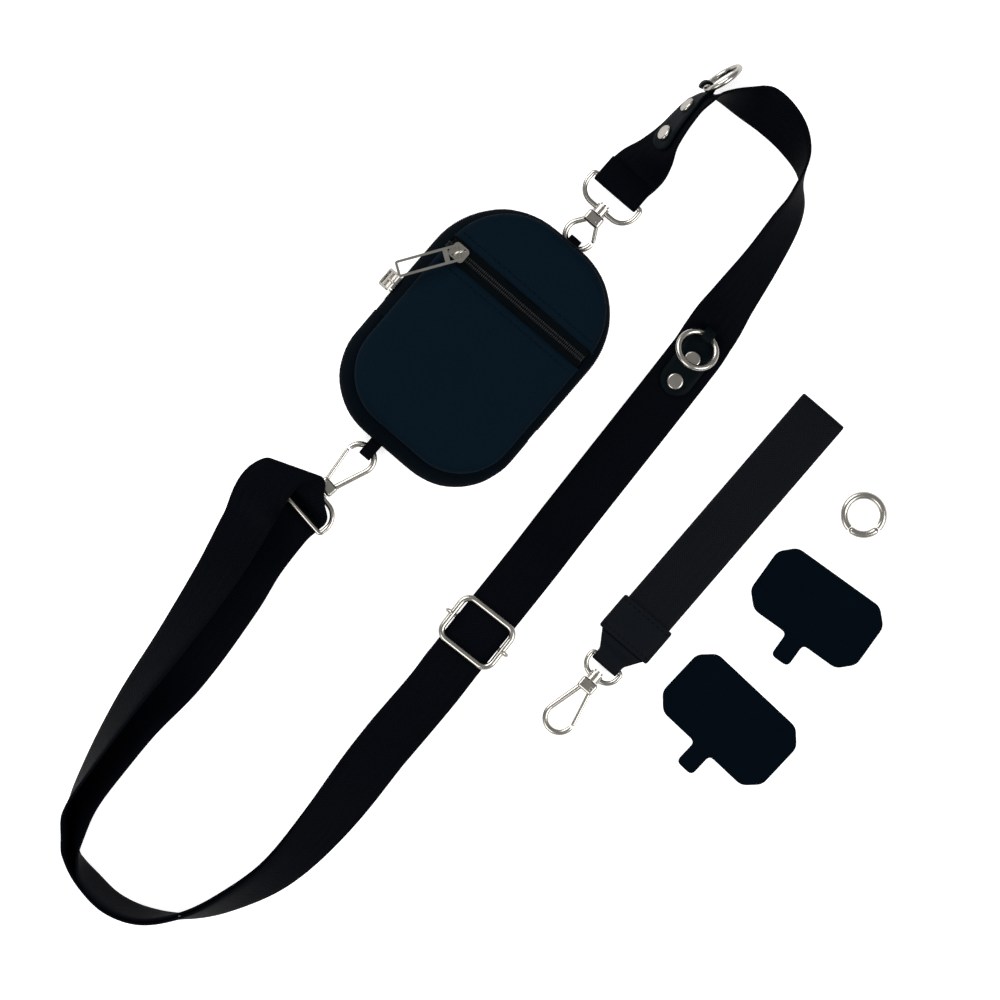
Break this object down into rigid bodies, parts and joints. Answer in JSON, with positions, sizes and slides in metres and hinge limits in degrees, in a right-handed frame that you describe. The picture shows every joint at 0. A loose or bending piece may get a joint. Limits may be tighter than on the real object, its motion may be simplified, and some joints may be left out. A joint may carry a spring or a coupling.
{
  "type": "phone pouch",
  "caption": "Small zipped crossbody pouch on a webbing strap with swivel snap hooks, ring tabs and slide adjuster, with a wrist strap, gate ring and phone tether pads beside it.",
  "frame": {"origin": "centre of the pouch's back face, which lies on the surface", "axes": "+X to the pouch's right seen from the front, +Y to its top loop, +Z out of its front"},
  "size_m": [0.29, 0.4986, 0.0347],
  "materials": {
    "pouch_cloth": "woven navy nylon",
    "lining_cloth": "thin dark lining",
    "piping_cloth": "dark cord piping",
    "zip_tape": "woven zip tape",
    "zip_teeth": "nylon coil",
    "nickel_hardware": "polished nickel",
    "strap_webbing": "ribbed black webbing",
    "tab_leather": "smooth black leather",
    "wrist_webbing": "flat dark webbing",
    "wrist_trim": "matt black trim",
    "pad_sheet": "thin coated sheet"
  },
  "bodies": {
    "pouch": {"back_panel": "pouch_cloth", "gusset_lower": "pouch_cloth", "gusset_back_strip": "pouch_cloth", "gusset_front_strip": "pouch_cloth", "front_panel_upper": "pouch_cloth", "front_panel_lower": "pouch_cloth", "top_loop": "pouch_cloth", "foot_loop": "pouch_cloth", "strap_upper_run": "strap_webbing", "strap_top_bend": "strap_webbing", "strap_long_run": "strap_webbing", "strap_glide_run": "strap_webbing", "strap_lower_run": "strap_webbing", "strap_bottom_bend": "strap_webbing", "strap_outer_strand": "strap_webbing", "strap_fold": "strap_webbing", "strap_upper_end": "strap_webbing", "strap_tail_run": "strap_webbing", "strap_inner_bend": "strap_webbing", "strap_inner_strand": "strap_webbing", "pocket_divider": "lining_cloth", "front_piping": "piping_cloth", "back_piping": "piping_cloth", "main_zip_tape": "zip_tape", "front_zip_tape": "zip_tape", "main_zip_teeth": "zip_teeth", "front_zip_teeth": "zip_teeth", "upper_tab": "tab_leather", "lower_tab": "tab_leather", "upper_tab_rivets": "nickel_hardware", "lower_tab_rivets": "nickel_hardware", "upper_hook_loop": "nickel_hardware", "lower_hook_loop": "nickel_hardware"},
    "front_slider": {"front_slider": "nickel_hardware"},
    "front_pull": {"front_pull": "nickel_hardware"},
    "main_slider": {"main_slider": "nickel_hardware"},
    "main_pull": {"main_pull": "nickel_hardware"},
    "upper_hook": {"upper_hook_body": "nickel_hardware", "upper_hook_pin": "nickel_hardware"},
    "upper_hook_gate": {"upper_hook_gate": "nickel_hardware"},
    "lower_hook": {"lower_hook_body": "nickel_hardware", "lower_hook_pin": "nickel_hardware"},
    "lower_hook_gate": {"lower_hook_gate": "nickel_hardware"},
    "adjuster": {"glide_frame": "nickel_hardware"},
    "adjuster_bar": {"glide_bar": "nickel_hardware", "strap_tail_end": "strap_webbing"},
    "upper_ring": {"upper_ring": "nickel_hardware"},
    "lower_ring": {"lower_ring": "nickel_hardware"},
    "wristlet": {"wristlet_webbing": "wrist_webbing", "wristlet_sleeve": "wrist_trim", "wristlet_tip": "wrist_trim"},
    "wristlet_loop": {"wristlet_hook_loop": "nickel_hardware"},
    "wristlet_hook": {"wristlet_hook_body": "nickel_hardware", "wristlet_hook_pin": "nickel_hardware"},
    "wristlet_gate": {"wristlet_hook_gate": "nickel_hardware"},
    "key_ring": {"key_ring_body": "nickel_hardware"},
    "key_ring_gate": {"key_ring_gate": "nickel_hardware"},
    "phone_pad_upper": {"phone_pad_upper": "pad_sheet"},
    "phone_pad_lower": {"phone_pad_lower": "pad_sheet"}
  },
  "joints": [
    {"name": "front_zip_travel", "type": "slide", "parent": "pouch", "child": "front_slider", "axis": [1, 0, 0], "range_m": [0, 0.068]},
    {"name": "front_pull_swing", "type": "hinge", "parent": "front_slider", "child": "front_pull", "pos_m": [-0.03445, 0.02725, 0.0324], "axis": [-0.829, 0.5592, 0], "range_deg": [0, 170]},
    {"name": "main_zip_travel", "type": "slide", "parent": "pouch", "child": "main_slider", "axis": [0, 1, 0], "range_m": [-0.01, 0.025]},
    {"name": "main_pull_swing", "type": "hinge", "parent": "main_slider", "child": "main_pull", "pos_m": [-0.04965, -0.003, 0.0125], "axis": [0, 1, 0], "range_deg": [0, 130]},
    {"name": "upper_hook_swivel", "type": "hinge", "parent": "pouch", "child": "upper_hook", "pos_m": [0.0025, 0.08625, 0.0052], "axis": [0, 1, 0], "range_deg": [-15, 15]},
    {"name": "upper_gate_open", "type": "hinge", "parent": "upper_hook", "child": "upper_hook_gate", "pos_m": [0.0049, 0.08065, 0.0052], "axis": [0, 0, -1], "range_deg": [0, 20], "stiffness_Nm_per_rad": 0.01},
    {"name": "lower_hook_swivel", "type": "hinge", "parent": "pouch", "child": "lower_hook", "pos_m": [-0.01097, -0.10074, 0.0052], "axis": [0.1392, 0.9903, 0], "range_deg": [-12, 12]},
    {"name": "lower_gate_open", "type": "hinge", "parent": "lower_hook", "child": "lower_hook_gate", "pos_m": [-0.01256, -0.09486, 0.0052], "axis": [0, 0, -1], "range_deg": [0, 20], "stiffness_Nm_per_rad": 0.01},
    {"name": "adjuster_travel", "type": "slide", "parent": "pouch", "child": "adjuster", "axis": [-0.044, 0.999, 0], "range_m": [0, 0.025]},
    {"name": "adjuster_bar_travel", "type": "slide", "parent": "adjuster", "child": "adjuster_bar", "axis": [-0.044, 0.999, 0], "range_m": [-0.003, 0.003]},
    {"name": "upper_ring_swing", "type": "hinge", "parent": "pouch", "child": "upper_ring", "pos_m": [0.00294, 0.1611, 0.01328], "axis": [0.2203, -0.0832, 0.9719], "range_deg": [0, 100]},
    {"name": "lower_ring_swing", "type": "hinge", "parent": "pouch", "child": "lower_ring", "pos_m": [0.079, 0.07444, 0.00476], "axis": [-0.9996, -0.0298, 0], "range_deg": [0, 100]},
    {"name": "wristlet_lift", "type": "slide", "parent": "pouch", "child": "wristlet", "axis": [0, 0, 1], "range_m": [0, 0.1]},
    {"name": "wristlet_loop_swing", "type": "hinge", "parent": "wristlet", "child": "wristlet_loop", "pos_m": [0.14283, -0.07241, 0.0052], "axis": [-1, 0, 0], "range_deg": [0, 60]},
    {"name": "wristlet_hook_swivel", "type": "hinge", "parent": "wristlet_loop", "child": "wristlet_hook", "pos_m": [0.14283, -0.08141, 0.0052], "axis": [0, -1, 0], "continuous": true},
    {"name": "wristlet_gate_open", "type": "hinge", "parent": "wristlet_hook", "child": "wristlet_gate", "pos_m": [0.14523, -0.08701, 0.0052], "axis": [0, 0, -1], "range_deg": [0, 20], "stiffness_Nm_per_rad": 0.01},
    {"name": "key_ring_lift", "type": "slide", "parent": "pouch", "child": "key_ring", "axis": [0, 0, 1], "range_m": [0, 0.1]},
    {"name": "key_ring_gate_open", "type": "hinge", "parent": "key_ring", "child": "key_ring_gate", "pos_m": [0.1898, 0.04927, 0.0017], "axis": [0, 0, 1], "range_deg": [0, 25], "stiffness_Nm_per_rad": 0.01},
    {"name": "phone_pad_upper_lift", "type": "slide", "parent": "pouch", "child": "phone_pad_upper", "axis": [0, 0, 1], "range_m": [0, 0.1]},
    {"name": "phone_pad_lower_lift", "type": "slide", "parent": "pouch", "child": "phone_pad_lower", "axis": [0, 0, 1], "range_m": [0, 0.1]}
  ]
}
